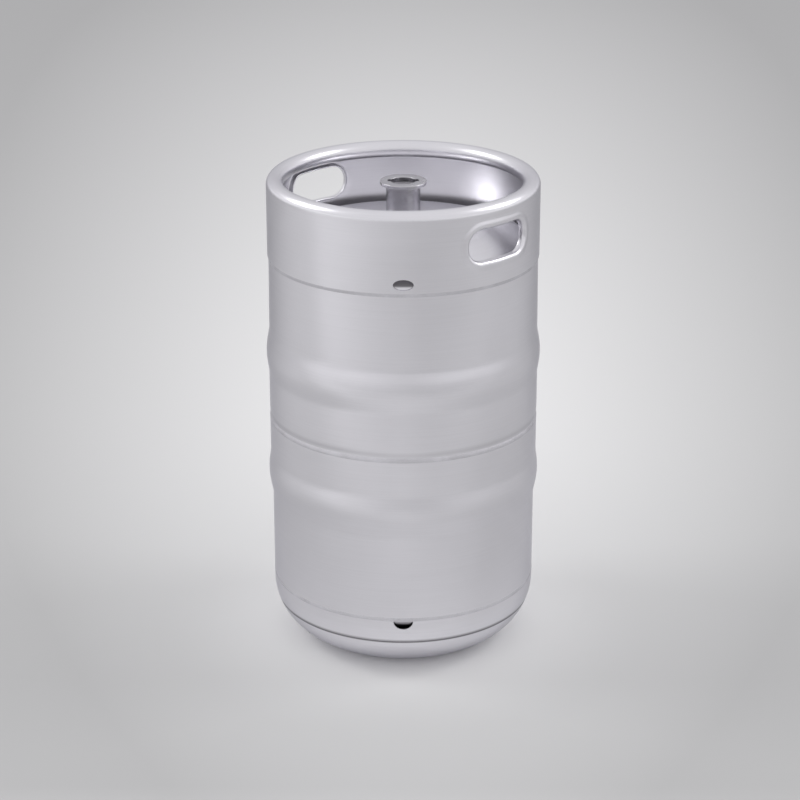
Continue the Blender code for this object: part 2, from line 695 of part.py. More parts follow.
clear_scene()
STEEL = metal("satin_stainless", (0.72, 0.71, 0.74), 0.34)
WELD = metal("weld_bead", (0.66, 0.65, 0.68), 0.42)
NECK_STEEL = metal("turned_stainless", (0.70, 0.69, 0.71), 0.22)
SPRING_STEEL = metal("spring_wire", (0.55, 0.55, 0.57), 0.28)
RUBBER = metal("black_rubber", (0.03, 0.03, 0.03), 0.55, metallic=0.0)

make_upper_shell()
make_lower_shell()
make_upper_chime()
make_lower_chime()
make_welds()
make_neck()
make_valve_seat_pieces()
make_gas_valve()
make_beer_valve()
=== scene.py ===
import math

import bmesh
import bpy
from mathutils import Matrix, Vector


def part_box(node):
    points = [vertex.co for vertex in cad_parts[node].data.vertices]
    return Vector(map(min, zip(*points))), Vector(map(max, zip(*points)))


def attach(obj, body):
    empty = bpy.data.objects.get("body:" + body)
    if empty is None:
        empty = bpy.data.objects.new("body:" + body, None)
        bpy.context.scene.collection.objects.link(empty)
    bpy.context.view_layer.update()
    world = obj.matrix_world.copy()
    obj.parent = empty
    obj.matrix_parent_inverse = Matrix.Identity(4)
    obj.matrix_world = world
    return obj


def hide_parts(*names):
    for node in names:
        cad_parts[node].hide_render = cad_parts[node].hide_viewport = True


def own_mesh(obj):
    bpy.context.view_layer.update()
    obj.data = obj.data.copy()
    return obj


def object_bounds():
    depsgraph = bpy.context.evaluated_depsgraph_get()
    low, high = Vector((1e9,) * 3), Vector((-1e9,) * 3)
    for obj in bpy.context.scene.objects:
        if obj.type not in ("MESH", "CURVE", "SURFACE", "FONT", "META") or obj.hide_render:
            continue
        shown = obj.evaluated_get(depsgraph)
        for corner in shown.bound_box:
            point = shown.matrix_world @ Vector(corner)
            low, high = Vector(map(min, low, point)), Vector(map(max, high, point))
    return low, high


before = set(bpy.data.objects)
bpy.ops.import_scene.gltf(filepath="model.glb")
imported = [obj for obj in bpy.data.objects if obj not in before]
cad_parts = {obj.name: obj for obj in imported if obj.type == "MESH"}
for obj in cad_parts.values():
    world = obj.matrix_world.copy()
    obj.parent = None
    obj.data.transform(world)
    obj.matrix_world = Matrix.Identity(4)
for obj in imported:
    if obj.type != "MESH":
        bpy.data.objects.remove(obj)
cad_low, cad_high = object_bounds()

# Sizes read from the frame, in metres
KEG_HEIGHT = cad_high.z
CHIME_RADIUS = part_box("upper_chime")[1].x
LOWER_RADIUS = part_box("lower_chime")[1].x
NECK_LOW, NECK_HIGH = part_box("keg_neck")
NECK_TOP = NECK_HIGH.z
UPPER_SHELL_LOW, UPPER_SHELL_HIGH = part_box("upper_shell")
LOWER_SHELL_LOW, LOWER_SHELL_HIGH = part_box("lower_shell")
UPPER_CHIME_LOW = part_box("upper_chime")[0].z
LOWER_CHIME_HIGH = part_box("lower_chime")[1].z

# A cutting bar's half length, as a share of the keg's radius
BAR_REACH = 1.3

# Sheet and shell
SHELL_SHEET = 0.0016
CHIME_SHEET = 0.0020
GAP = 0.0003
SEAM_BEAD = 0.0013
UPPER_SEAM = UPPER_CHIME_LOW - 2 * SEAM_BEAD - GAP
LOWER_SEAM = LOWER_CHIME_HIGH + 2 * SEAM_BEAD + GAP
GIRTH = (UPPER_SHELL_LOW.z + LOWER_SHELL_HIGH.z) / 2
UPPER_RIB = GIRTH + 0.0856
LOWER_RIB = GIRTH - 0.0750
RIB_HALF_WIDTH = 0.027
RIB_RISE = 0.00327
RIB_FULLNESS = 1.25
GIRTH_DIP = 0.0006
GIRTH_DIP_REACH = 0.0042
INSET_UNDER_CHIME = 0.0014
INSET_ABOVE_UPPER_RIB = 0.0007
INSET_BELLY = -0.0003
INSET_LOWER = CHIME_RADIUS - LOWER_RADIUS
STEP_DEPTH = CHIME_SHEET + 0.0012
KNUCKLE = 0.022
SHOULDER = 0.002
DOME_TOP = UPPER_SHELL_HIGH.z
SUMP_FLOOR = LOWER_SHELL_LOW.z
SUMP_DEPTH = 0.006
SUMP_RADIUS = 0.022
SUMP_FLAT_SHARE = 0.68

# Chimes
RIM_BEAD = 0.0105
RIM_CURL_DEGREES = 300
HANDLE_WIDTH = 0.090
HANDLE_HEIGHT = 0.039
HANDLE_CORNER = 0.018
HANDLE_LEVEL = KEG_HEIGHT - 0.0475
LIP_RADIUS = 0.0045
LIP_PROUD = 0.0011
LIP_FLARE = 0.0075
LIP_DEPTH = 0.0030
LIP_EDGE_PROUD = 0.00004
LIP_ROOT = CHIME_SHEET * 0.8
FOOT_RADIUS = 0.091
FOOT_ROUNDING = 0.072
FOOT_FLAT = 0.009
FOOT_CURL = 0.006
FOOT_CURL_END = -210
DRAIN_DEGREES = -43.5
# Each drain's width, height and level
UPPER_DRAIN = (0.024, 0.013, UPPER_SEAM + 0.0135)
LOWER_DRAIN = (0.024, 0.021, LOWER_SEAM - 0.003)

# How fine the turned pieces are, and the angle above which an edge stays sharp
SHELL_STEPS = 240
NECK_STEPS = 120
VALVE_STEPS = 72
WALL_STEPS = 72
KNUCKLE_STEPS = 14
CROWN_STEPS = 24
SUMP_STEPS = 7
FLARE_STEPS = 8
RIM_STEPS = 36
DRAIN_STEPS = 48
CHIME_WALL_STEPS = 30
FOOT_WALL_STEPS = 6
SHARP_DEGREES = 40

# A point nearer the axis than this is on it, and a side shorter than this is left alone
ON_AXIS = 1e-6
SHORTEST_SIDE = 1e-7

# Camera
CAMERA_AZIMUTH = 46.5
CAMERA_ELEVATION = 21.3
CAMERA_DISTANCE = 2.9953
CAMERA_LENS = 108.35
CAMERA_SHIFT = (-0.0041, 0.0059)

# Studio air: its strength at the horizon and high up, and the glow low down at the two sides
AIR_COLOUR = (0.985, 0.98, 1.0, 1.0)
# The floor's painted light: lightest just behind the keg and fading outwards, with painted pools of
# light round it, in front and to the left.
AIR_LOW = 0.66
AIR_HIGH = 0.74
AIR_RISE = (0.0, 0.5)
HORIZON_GLOW = 0.56
GLOW_FALL = (0.02, 0.20)
GLOW_AT_FRONT = 0.15

# Softboxes: degrees round from the camera, elevation, distance, size and watts
LEFT_SOFTBOX = (-97, 40, 2.4, (0.8, 0.8), 9)
RIGHT_SOFTBOX = (97, 40, 2.4, (0.8, 0.8), 8)
FLOOR_LIGHT = (0, 90, 6.0, (8.0, 8.0), 57)

# Floor, in metres from the keg, with x to the right and y away from the camera
FLOOR_SIZE = 30.0
FLOOR_ROUGHNESS = 0.9
FLOOR_GLOSS = 0.1
# The floor's tone is painted light: lightest just behind the keg, and darker further out
FLOOR_PAINTED_LIGHT_TONES = (0.52, 0.88)
FLOOR_LIGHTEST_AT = (0.015, 0.78)
FLOOR_FRONT = -0.55
FLOOR_BACK = 4.6
FLOOR_HALF_WIDTH = 0.5115
FLOOR_WIDENING = 0.1596
FLOOR_STOPS_NARROWING = -0.6
FLOOR_FADE = (0.15, 1.1)
# Painted pools of light: round the keg's foot, in front of it, and towards the left
PAINTED_POOL_LIGHT = 0.22
POOL_REACH = (0.12, 0.32)
FRONT_EDGE = (-0.62, -0.42)
PAINTED_FRONT_LIGHT = 0.10
FRONT_REACH = (-1.5, -0.5)
PAINTED_LEFT_LIGHT = 0.15
LEFT_REACH = (-1.4, 0.4)
PAINTED_FAR_LEFT_LIGHT = PAINTED_LEFT_LIGHT / 2
FAR_LEFT_REACH = (-1.5, -0.68)
FAR_LEFT_DEPTH = (0.3, 1.0)


def arc(centre, radius, start, end, steps, height=None):
    """Points along an arc in the (r, z) plane, in degrees; height makes it part of an ellipse."""
    tall = radius if height is None else height
    points = []
    for i in range(steps + 1):
        angle = math.radians(start + (end - start) * i / steps)
        points.append((centre[0] + radius * math.cos(angle), centre[1] + tall * math.sin(angle)))
    return points


def offset_line(line, distance):
    """The line moved sideways, to the left of its direction, with mitred corners."""
    moved = []
    for i, point in enumerate(line):
        here = Vector(point)
        before = Vector(line[max(i - 1, 0)])
        after = Vector(line[min(i + 1, len(line) - 1)])
        sides = []
        for way in (here - before, after - here):
            if way.length > SHORTEST_SIDE:
                sides.append(Vector((-way.y, way.x)).normalized())
        side = (sides[0] + sides[-1]).normalized()
        moved.append(tuple(here + side * (distance / side.dot(sides[0]))))
    return moved


def rolled_sheet(line, thickness):
    """A closed outline for a sheet whose outer face follows the line."""
    return line + offset_line(line, thickness)[::-1]


def softened(outline, radius, steps=3):
    """A closed outline with each corner off the axis rounded, as far as its two sides allow."""
    soft = []
    count = len(outline)
    for i, point in enumerate(outline):
        here = Vector(point)
        back = Vector(outline[i - 1]) - here
        on = Vector(outline[(i + 1) % count]) - here
        if here.x < ON_AXIS or min(back.length, on.length) < SHORTEST_SIDE:
            soft.append(point)
            continue
        reach = min(radius, 0.45 * back.length, 0.45 * on.length)
        first = here + back.normalized() * reach
        last = here + on.normalized() * reach
        for k in range(steps + 1):
            t = k / steps
            bend = first * (1 - t) ** 2 + here * 2 * t * (1 - t) + last * t * t
            soft.append(tuple(bend))
    return soft


def smooth_object(name, verts, faces):
    """A linked object with its normals out, shaded smooth except at its sharp edges."""
    mesh = bpy.data.meshes.new(name)
    mesh.from_pydata(verts, [], faces)
    bm = bmesh.new()
    bm.from_mesh(mesh)
    bmesh.ops.recalc_face_normals(bm, faces=bm.faces)
    bm.to_mesh(mesh)
    bm.free()
    mesh.shade_smooth()
    mesh.set_sharp_from_angle(angle=math.radians(SHARP_DEGREES))
    obj = bpy.data.objects.new(name, mesh)
    bpy.context.scene.collection.objects.link(obj)
    return obj


def turned(name, outline, steps, ripple=None):
    """A closed (r, z) outline spun about the keg's axis; points on the axis become poles.

    ripple is (count, depth): a weld's scallops, which lower the surface between them.
    """
    verts = []
    rings = []
    for r, z in outline:
        if r < ON_AXIS:
            rings.append([len(verts)] * steps)
            verts.append((0.0, 0.0, z))
            continue
        rings.append(list(range(len(verts), len(verts) + steps)))
        for i in range(steps):
            angle = 2 * math.pi * i / steps
            radius = r
            if ripple:
                radius -= ripple[1] * (1 - abs(math.sin(ripple[0] * angle / 2)))
            verts.append((radius * math.cos(angle), radius * math.sin(angle), z))
    faces = []
    for one, two in zip(rings, rings[1:] + rings[:1]):
        for i in range(steps):
            j = (i + 1) % steps
            corners = []
            for index in (one[i], one[j], two[j], two[i]):
                if index not in corners:
                    corners.append(index)
            if len(corners) > 2:
                faces.append(corners)
    return smooth_object(name, verts, faces)


def swept(name, rings, closed):
    """A tube through rings of points: closed on itself, or with a flat cap at each end."""
    sides = len(rings[0])
    verts = [tuple(point) for ring in rings for point in ring]
    count = len(rings)
    faces = []
    for i in range(count if closed else count - 1):
        for k in range(sides):
            n = (k + 1) % sides
            j = (i + 1) % count
            faces.append((i * sides + k, i * sides + n, j * sides + n, j * sides + k))
    if not closed:
        faces.append(tuple(range(sides)))
        faces.append(tuple(range((count - 1) * sides, count * sides)))
    return smooth_object(name, verts, faces)


def cut_away(piece, tool):
    """Cut the tool's shape from the piece for good, and remove the tool."""
    modifier = piece.modifiers.new("cut", "BOOLEAN")
    modifier.operation = "DIFFERENCE"
    modifier.object = tool
    graph = bpy.context.evaluated_depsgraph_get()
    mesh = bpy.data.meshes.new_from_object(piece.evaluated_get(graph))
    piece.modifiers.clear()
    old = piece.data
    piece.data = mesh
    bpy.data.meshes.remove(old)
    mesh.name = piece.name
    mesh.shade_smooth()
    mesh.set_sharp_from_angle(angle=math.radians(SHARP_DEGREES))
    bpy.data.objects.remove(tool, do_unlink=True)


def rounded_rectangle(half_width, half_height, corner, corner_steps, side_steps=1):
    """Points round a rectangle with round corners, anticlockwise."""
    corners = []
    for start, across, up in ((0, 1, 1), (90, -1, 1), (180, -1, -1), (270, 1, -1)):
        centre = (across * (half_width - corner), up * (half_height - corner))
        corners.append(arc(centre, corner, start, start + 90, corner_steps))
    points = []
    for i, bend in enumerate(corners):
        points += bend
        here = Vector(bend[-1])
        there = Vector(corners[(i + 1) % 4][0])
        points += [tuple(here.lerp(there, k / side_steps)) for k in range(1, side_steps)]
    return points


def level_axes(degrees):
    """The level directions along and across the given angle from +X."""
    turn = math.radians(degrees)
    along = Vector((math.cos(turn), math.sin(turn), 0))
    return along, Vector((-along.y, along.x, 0))


def level_bar(name, outline, level, degrees):
    """A bar with the given outline that runs level through the keg, at the given angle from +X."""
    along, across = level_axes(degrees)
    rings = []
    for end in (-BAR_REACH, BAR_REACH):
        middle = along * end * CHIME_RADIUS
        rings.append([middle + across * a + Vector((0, 0, level + z)) for a, z in outline])
    return swept(name, rings, closed=False)


# ---------------------------------------------------------------- finishes


def group_socket(tree, name, way, value=None):
    socket = tree.interface.new_socket(name=name, in_out=way, socket_type="NodeSocketFloat")
    if value is not None:
        socket.default_value = value


def link(tree, source, target):
    tree.links.new(source, target)


def feed(tree, socket, value):
    """Give the socket a number, or link a node's output to it."""
    if isinstance(value, bpy.types.NodeSocket):
        link(tree, value, socket)
    else:
        socket.default_value = value


def maths(tree, operation, *values):
    """The result of one sum on numbers and node outputs."""
    node = tree.nodes.new("ShaderNodeMath")
    node.operation = operation
    for socket, value in zip(node.inputs, values):
        feed(tree, socket, value)
    return node.outputs["Value"]


def ramp(tree, value, source, target=(0.0, 1.0), smooth=False):
    """The value carried from the source range to the target range, and held at both ends."""
    node = tree.nodes.new("ShaderNodeMapRange")
    if smooth:
        node.interpolation_type = "SMOOTHSTEP"
    for name, end in zip(("From Min", "From Max", "To Min", "To Max"), (*source, *target)):
        feed(tree, node.inputs[name], end)
    link(tree, value, node.inputs["Value"])
    return node.outputs["Result"]


def noise(tree, where, scale, detail=2.0, **settings):
    """A noise value; the other settings are the names of its sockets."""
    node = tree.nodes.new("ShaderNodeTexNoise")
    link(tree, where, node.inputs["Vector"])
    for name, value in (("Scale", scale), ("Detail", detail), *settings.items()):
        feed(tree, node.inputs[name], value)
    return node.outputs["Fac"]


def colour_mix(tree, share, first, second):
    """From the first colour to the second, by a share from 0 to 1."""
    mix = tree.nodes.new("ShaderNodeMix")
    mix.data_type = "RGBA"
    feed(tree, mix.inputs["Factor"], share)
    feed(tree, mix.inputs["A"], first)
    feed(tree, mix.inputs["B"], second)
    return mix.outputs["Result"]


def object_place(tree):
    return tree.nodes.new("ShaderNodeTexCoord").outputs["Object"]


def steel_grain():
    """Fine streaks that run round the keg, and slow patches, each from 0 to 1."""
    tree = bpy.data.node_groups.new("steel_grain", "ShaderNodeTree")
    group_socket(tree, "Along", "INPUT", 7.0)
    group_socket(tree, "Across", "INPUT", 900.0)
    group_socket(tree, "Patch Scale", "INPUT", 6.0)
    group_socket(tree, "Streak", "OUTPUT")
    group_socket(tree, "Patch", "OUTPUT")
    inputs = tree.nodes.new("NodeGroupInput")
    outputs = tree.nodes.new("NodeGroupOutput")
    where = object_place(tree)
    spread = tree.nodes.new("ShaderNodeCombineXYZ")
    for axis, name in (("X", "Along"), ("Y", "Along"), ("Z", "Across")):
        link(tree, inputs.outputs[name], spread.inputs[axis])
    stretch = tree.nodes.new("ShaderNodeVectorMath")
    stretch.operation = "MULTIPLY"
    link(tree, where, stretch.inputs[0])
    link(tree, spread.outputs["Vector"], stretch.inputs[1])
    streak = noise(tree, stretch.outputs["Vector"], 1.0, 3.0, Roughness=0.65)
    patch = noise(tree, where, inputs.outputs["Patch Scale"], 3.0, Distortion=0.4)
    link(tree, streak, outputs.inputs["Streak"])
    link(tree, patch, outputs.inputs["Patch"])
    return tree


CREVICE_LIMITS = ("Inner", "Outer", "Low", "High", "Softness")


def painted_shade_mask():
    """A mask for painted shade: 1 between two radii and between two levels."""
    tree = bpy.data.node_groups.new("painted_shade_mask", "ShaderNodeTree")
    for name in CREVICE_LIMITS:
        group_socket(tree, name, "INPUT", 0.003 if name == "Softness" else 0.1)
    group_socket(tree, "Mask", "OUTPUT")
    limits = tree.nodes.new("NodeGroupInput").outputs
    where = object_place(tree)
    parts = tree.nodes.new("ShaderNodeSeparateXYZ")
    link(tree, where, parts.inputs["Vector"])
    flat = tree.nodes.new("ShaderNodeVectorMath")
    flat.operation = "MULTIPLY"
    flat.inputs[1].default_value = (1, 1, 0)
    link(tree, where, flat.inputs[0])
    length = tree.nodes.new("ShaderNodeVectorMath")
    length.operation = "LENGTH"
    link(tree, flat.outputs["Vector"], length.inputs[0])
    radius, level = length.outputs["Value"], parts.outputs["Z"]
    past_edges = (
        maths(tree, "SUBTRACT", radius, limits["Inner"]),
        maths(tree, "SUBTRACT", limits["Outer"], radius),
        maths(tree, "SUBTRACT", level, limits["Low"]),
        maths(tree, "SUBTRACT", limits["High"], level),
    )
    mask = 1.0
    for past in past_edges:
        inside = ramp(tree, past, (0.0, limits["Softness"]), smooth=True)
        mask = maths(tree, "MULTIPLY", inside, mask)
    outputs = tree.nodes.new("NodeGroupOutput")
    link(tree, mask, outputs.inputs["Mask"])
    return tree


def with_painted_shade(tree, colour, depth, *limits):
    """The colour, with painted shade of the given depth where the mask is 1."""
    painted_shade = tree.nodes.new("ShaderNodeGroup")
    painted_shade.node_tree = PAINTED_SHADE_GROUP
    for name, value in zip(CREVICE_LIMITS, limits):
        painted_shade.inputs[name].default_value = value
    share = maths(tree, "MULTIPLY", painted_shade.outputs["Mask"], depth)
    return colour_mix(tree, share, colour, PAINTED_SHADE_COLOUR)


def blend_of(tree, low, high, first, second=None, share=0.5):
    """A value from low to high, driven by one mask or by two mixed in the given share."""
    source = first
    if second is not None:
        mix = tree.nodes.new("ShaderNodeMix")
        mix.inputs["Factor"].default_value = share
        link(tree, first, mix.inputs["A"])
        link(tree, second, mix.inputs["B"])
        source = mix.outputs["Result"]
    return ramp(tree, source, NOISE_SPREAD, (low, high))


def finish(tree, colour, rough, relief, strength):
    """Give the shader its colour, its roughness and a fine relief, and return it."""
    shader = tree.nodes["Principled BSDF"]
    link(tree, colour, shader.inputs["Base Color"])
    link(tree, rough, shader.inputs["Roughness"])
    raised = tree.nodes.new("ShaderNodeBump")
    raised.inputs["Strength"].default_value = strength
    raised.inputs["Distance"].default_value = RELIEF_DEPTH
    link(tree, relief, raised.inputs["Height"])
    link(tree, raised.outputs["Normal"], shader.inputs["Normal"])
    return shader


def new_material(name):
    material = bpy.data.materials.new(name)
    material.use_nodes = True
    return material


def steel(name, dark, light, roughness, grain_scales, relief, painted_shades=()):
    """A stainless finish: streaked tone, roughness that wanders, a fine grain, and any painted
    shade given.
    """
    material = new_material(name)
    tree = material.node_tree
    grain = tree.nodes.new("ShaderNodeGroup")
    grain.node_tree = GRAIN
    for socket, scale in zip(("Along", "Across", "Patch Scale"), grain_scales):
        grain.inputs[socket].default_value = scale
    streak = grain.outputs["Streak"]
    patch = grain.outputs["Patch"]
    share = blend_of(tree, 0.0, 1.0, streak, patch, 0.6)
    colour = colour_mix(tree, share, (*dark, 1.0), (*light, 1.0))
    # Painted shade, darkening the colour wherever any is given
    for painted_shade in painted_shades:
        colour = with_painted_shade(tree, colour, *painted_shade)
    rough = blend_of(tree, *roughness, patch, streak, 0.35)
    shader = finish(tree, colour, rough, streak, relief)
    shader.inputs["Metallic"].default_value = 1.0
    shader.inputs["Specular Tint"].default_value = STEEL_EDGE_TINT
    return material


def rubber(name, colour, roughness):
    """Moulded rubber: near-black, with a dusty bloom and a fine pebble."""
    material = new_material(name)
    tree = material.node_tree
    where = object_place(tree)
    pebble = noise(tree, where, 900.0)
    bloom = noise(tree, where, 70.0)
    dusty = [channel * 2.2 for channel in colour]
    share = blend_of(tree, 0.0, 1.0, bloom)
    tone = colour_mix(tree, share, (*colour, 1.0), (*dusty, 1.0))
    rough = blend_of(tree, roughness - 0.08, roughness + 0.08, bloom)
    finish(tree, tone, rough, pebble, 0.25)
    return material


NOISE_SPREAD = (0.3, 0.7)
RELIEF_DEPTH = 0.0002
STEEL_EDGE_TINT = (0.62, 0.62, 0.64, 1.0)
# The colour that the painted shade darkens the steel towards
PAINTED_SHADE_COLOUR = (0.05, 0.045, 0.05, 1.0)
GRAIN = steel_grain()
PAINTED_SHADE_GROUP = painted_shade_mask()

# Painted shade on the shell in the crevices behind the two chimes, and a band of painted shade
# above the girth weld: depth, inner and outer radius, low and high level, softness
SHELL_PAINTED_SHADE = (
    (0.85, 0.146, CHIME_RADIUS - 0.0025, UPPER_SEAM + 0.008, UPPER_SEAM + 0.030, 0.003),
    (0.90, 0.140, LOWER_RADIUS - 0.0025, LOWER_SEAM - 0.035, LOWER_SEAM - 0.002, 0.002),
    (0.14, 0.150, 0.200, GIRTH + 0.001, GIRTH + 0.012, 0.006),
)

SATIN = steel(
    "satin_stainless",
    dark=(0.84, 0.83, 0.865),
    light=(0.92, 0.91, 0.95),
    roughness=(0.28, 0.33),
    grain_scales=(7, 900, 6),
    relief=0.04,
    painted_shades=SHELL_PAINTED_SHADE,
)
WELD = steel(
    "weld_bead",
    dark=(0.66, 0.65, 0.68),
    light=(0.82, 0.81, 0.85),
    roughness=(0.42, 0.56),
    grain_scales=(260, 500, 40),
    relief=0.2,
)
TURNED = steel(
    "turned_stainless",
    dark=(0.58, 0.57, 0.60),
    light=(0.70, 0.69, 0.72),
    roughness=(0.20, 0.30),
    grain_scales=(30, 2600, 30),
    relief=0.12,
)
WIRE = steel(
    "spring_wire",
    dark=(0.42, 0.42, 0.44),
    light=(0.58, 0.58, 0.60),
    roughness=(0.20, 0.32),
    grain_scales=(400, 400, 60),
    relief=0.1,
)
RUBBER = rubber("black_rubber", (0.018, 0.018, 0.019), 0.55)


def place(piece, node, body, material):
    """The piece takes the CAD node's place on its body, with its finish."""
    piece.data.materials.clear()
    piece.data.materials.append(material)
    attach(piece, body)
    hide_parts(node)


# ---------------------------------------------------------------- shell


def smooth_step(low, high, value):
    """From 0 to 1 as the value goes from low to high, level at both ends."""
    share = min(max((value - low) / (high - low), 0.0), 1.0)
    return share * share * (3 - 2 * share)


def wall_radius(z):
    """Outer radius of the shell's wall, with its two rolled ribs."""
    inset = INSET_LOWER
    inset += (INSET_BELLY - inset) * smooth_step(
        LOWER_RIB - RIB_HALF_WIDTH, LOWER_RIB + RIB_HALF_WIDTH, z
    )
    inset += (INSET_ABOVE_UPPER_RIB - inset) * smooth_step(
        UPPER_RIB - RIB_HALF_WIDTH, UPPER_RIB + RIB_HALF_WIDTH, z
    )
    inset += (INSET_UNDER_CHIME - inset) * smooth_step(UPPER_RIB + RIB_HALF_WIDTH, UPPER_SEAM, z)
    for rib in (UPPER_RIB, LOWER_RIB):
        away = abs(z - rib) / RIB_HALF_WIDTH
        if away < 1:
            inset -= RIB_RISE * math.cos(away * math.pi / 2) ** RIB_FULLNESS
    inset += GIRTH_DIP * math.exp(-(((z - GIRTH - GIRTH_DIP_REACH) / GIRTH_DIP_REACH) ** 2))
    return CHIME_RADIUS - inset


def wall_line(start, end, steps):
    """The wall's outer face between two levels."""
    levels = [start + (end - start) * i / steps for i in range(steps + 1)]
    return [(wall_radius(z), z) for z in levels]


def dome_line(step_radius, knuckle_level, rise, centre_radius):
    """Knuckle and crown as (r, height), from the wall to the centre."""
    reach = step_radius - KNUCKLE
    crown = (reach**2 + rise**2 - KNUCKLE**2) / (2 * (rise - KNUCKLE))
    lean = math.degrees(math.atan2(crown - rise, reach))
    points = arc((reach, knuckle_level), KNUCKLE, 0, lean, KNUCKLE_STEPS)
    edge = math.degrees(math.acos(centre_radius / crown))
    return points + arc((0, knuckle_level + rise - crown), crown, lean, edge, CROWN_STEPS)[1:]


def make_shell():
    """Each half runs on under its welds, so that no gap shows where the metal is fused."""
    step = CHIME_RADIUS - STEP_DEPTH
    line = wall_line(GIRTH + GAP, UPPER_SEAM - GAP, WALL_STEPS)
    line += [(step, UPPER_SEAM + GAP)]
    crown_rise = DOME_TOP - UPPER_SEAM - SHOULDER
    line += dome_line(step, UPPER_SEAM + SHOULDER, crown_rise, NECK_RADIUS + GAP)
    upper = turned("upper_shell_sheet", rolled_sheet(line, SHELL_SHEET), SHELL_STEPS)
    place(upper, "upper_shell", "keg", SATIN)

    step = LOWER_RADIUS - STEP_DEPTH
    level = LOWER_SEAM - SHOULDER
    rise = level - SUMP_FLOOR - SUMP_DEPTH
    line = wall_line(GIRTH - GAP, LOWER_SEAM + GAP, WALL_STEPS)
    line += [(step, LOWER_SEAM - GAP)]
    line += [(r, level - height) for r, height in dome_line(step, 0.0, rise, SUMP_RADIUS)]
    dish = SUMP_RADIUS * SUMP_FLAT_SHARE
    for i in range(1, SUMP_STEPS):
        share = i / SUMP_STEPS
        fall = SUMP_DEPTH * smooth_step(0, 1, share)
        line.append((SUMP_RADIUS + (dish - SUMP_RADIUS) * share, SUMP_FLOOR + SUMP_DEPTH - fall))
    line += [(dish, SUMP_FLOOR), (dish / 2, SUMP_FLOOR), (0.0, SUMP_FLOOR)]
    lower = turned("lower_shell_sheet", rolled_sheet(line, -SHELL_SHEET), SHELL_STEPS)
    place(lower, "lower_shell", "keg", SATIN)


# ---------------------------------------------------------------- chimes


def handle_outline():
    """The line along which the chime's wall rolls over into a handle's lip."""
    return rounded_rectangle(
        HANDLE_WIDTH / 2 + LIP_RADIUS,
        HANDLE_HEIGHT / 2 + LIP_RADIUS,
        HANDLE_CORNER + LIP_RADIUS,
        corner_steps=14,
        side_steps=10,
    )


def lip_section():
    """The lip's outline as (away from the opening, out from the wall): a swell, then a roll in."""
    crest = LIP_PROUD - LIP_RADIUS
    line = []
    for i in range(FLARE_STEPS + 1):
        share = i / FLARE_STEPS
        swell = (LIP_PROUD - LIP_EDGE_PROUD) * smooth_step(0, 1, share)
        line.append((LIP_FLARE * (1 - share), LIP_EDGE_PROUD + swell))
    line += arc((0, crest), LIP_RADIUS, 90, 180, 12)[1:]
    line += [(-LIP_RADIUS, crest - LIP_DEPTH * share) for share in (0.33, 0.66)]
    line += arc((-LIP_RADIUS + CHIME_SHEET / 2, crest - LIP_DEPTH), CHIME_SHEET / 2, 180, 360, 6)
    line += arc((0, crest), LIP_RADIUS - CHIME_SHEET, 180, 90, 8)
    line.append((LIP_FLARE, -LIP_ROOT))
    return line


def make_handle_lip(name, side):
    """The rolled edge of one handle opening, wrapped round the chime's wall."""
    path = []
    for y, z in handle_outline():
        path.append(Vector((CHIME_RADIUS * math.asin(y / CHIME_RADIUS), z)))
    section = lip_section()
    rings = []
    for i, point in enumerate(path):
        along = (path[(i + 1) % len(path)] - path[i - 1]).normalized()
        away = Vector((along.y, -along.x))
        ring = []
        for u, w in section:
            on_wall = point + away * u
            angle = on_wall.x / CHIME_RADIUS
            r = CHIME_RADIUS + w
            level = HANDLE_LEVEL + on_wall.y
            ring.append((side * r * math.cos(angle), r * math.sin(angle), level))
        rings.append(ring)
    return swept(name, rings, closed=True)


def make_upper_chime():
    """The ring with its curled rim, its two handle openings and their lips, and its drains."""
    bead = (CHIME_RADIUS - RIM_BEAD, KEG_HEIGHT - RIM_BEAD)
    steps = CHIME_WALL_STEPS
    rise = bead[1] - UPPER_CHIME_LOW
    line = [(CHIME_RADIUS, UPPER_CHIME_LOW + rise * i / steps) for i in range(steps)]
    line += arc(bead, RIM_BEAD, 0, RIM_CURL_DEGREES, RIM_STEPS)
    chime = turned("upper_chime_ring", rolled_sheet(line, CHIME_SHEET), SHELL_STEPS)
    cut_away(chime, level_bar("handle_cut", handle_outline(), HANDLE_LEVEL, 0))
    cut_drain(chime, UPPER_DRAIN)
    place(chime, "upper_chime", "keg", SATIN)
    for name, side in (("right_handle_lip", 1), ("left_handle_lip", -1)):
        place(make_handle_lip(name, side), "upper_chime", "keg", SATIN)


def cut_drain(chime, drain):
    """Cut an oval hole through both sides of the chime."""
    width, height, level = drain
    last = 360 - 360 / DRAIN_STEPS
    hole = arc((0, 0), width / 2, 0, last, DRAIN_STEPS - 1, height=height / 2)
    cut_away(chime, level_bar("drain_cut", hole, level, DRAIN_DEGREES))


def make_lower_chime():
    """The ring with its rounded foot, curled in under the keg, and its drains."""
    steps = FOOT_WALL_STEPS
    fall = LOWER_CHIME_HIGH - FOOT_ROUNDING
    line = [(LOWER_RADIUS, LOWER_CHIME_HIGH - fall * i / steps) for i in range(steps)]
    foot = (FOOT_RADIUS, FOOT_ROUNDING)
    line += arc(foot, LOWER_RADIUS - FOOT_RADIUS, 0, -90, 40, height=FOOT_ROUNDING)
    line += arc((FOOT_RADIUS - FOOT_FLAT, FOOT_CURL), FOOT_CURL, -90, FOOT_CURL_END, 16)
    chime = turned("lower_chime_ring", rolled_sheet(line, -CHIME_SHEET), SHELL_STEPS)
    cut_drain(chime, LOWER_DRAIN)
    place(chime, "lower_chime", "keg", SATIN)


# ---------------------------------------------------------------- welds


WELD_LAP = 0.0002
WELD_FULLNESS = 0.6
WELD_STEPS = 12
SCALLOPS = 300
FILLET_HOLLOW = 0.92
NECK_SCALLOPS = 60
NECK_SCALLOP_DEPTH = 0.00018

